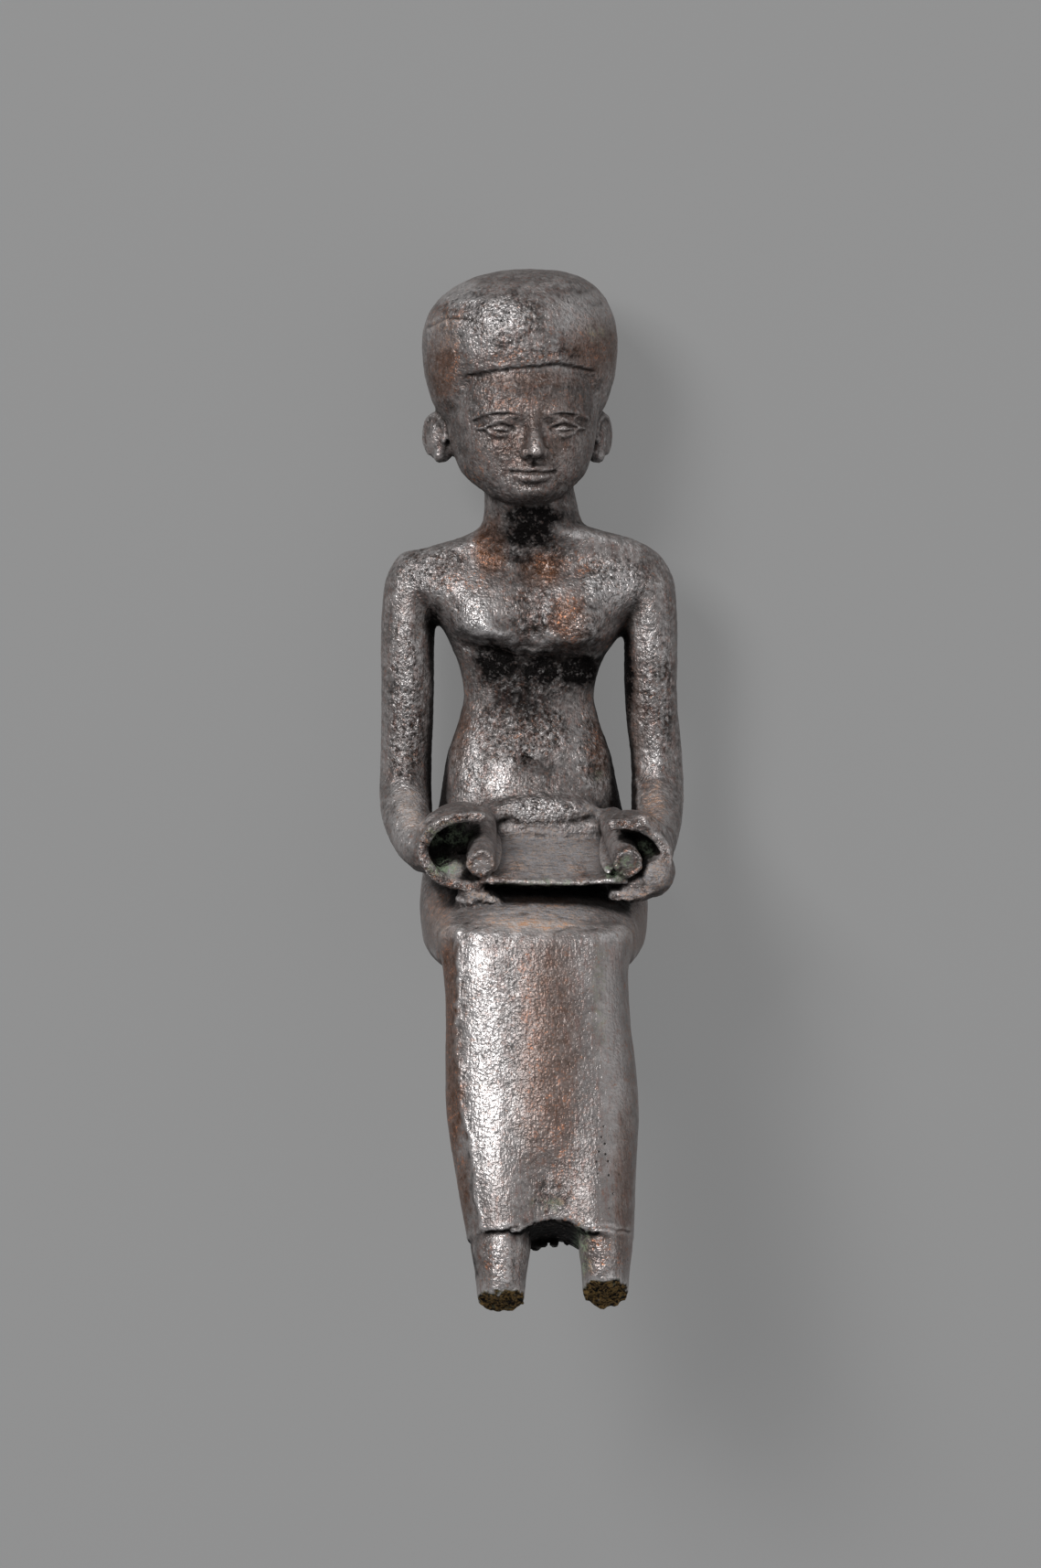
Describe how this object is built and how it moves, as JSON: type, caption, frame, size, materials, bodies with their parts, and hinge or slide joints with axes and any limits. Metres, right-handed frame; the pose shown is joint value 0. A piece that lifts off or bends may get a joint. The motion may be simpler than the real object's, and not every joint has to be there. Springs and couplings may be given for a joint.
{
  "type": "seated figure with an open scroll",
  "caption": "Small cast bronze figure of a seated man in a tight cap and a long kilt, holding an open scroll on his lap; the feet are broken off and the seat is lost.",
  "frame": {"origin": "Centre of the bounding box at its lowest level, which is the level that the figure rests on as it lies on its back.", "axes": "+Y runs from the ankles to the crown, +Z is the front of the figure, which faces up as it lies, and -X is the side of the figure's own right arm."},
  "size_m": [0.0234, 0.08, 0.0302],
  "materials": {
    "bronze": "dark brown-grey cast bronze with a finely pitted skin, rubbed metallic highlights, coppery red-brown patches and pale green corrosion in the hollows"
  },
  "bodies": {
    "root": {"figure": "bronze"}
  },
  "joints": []
}
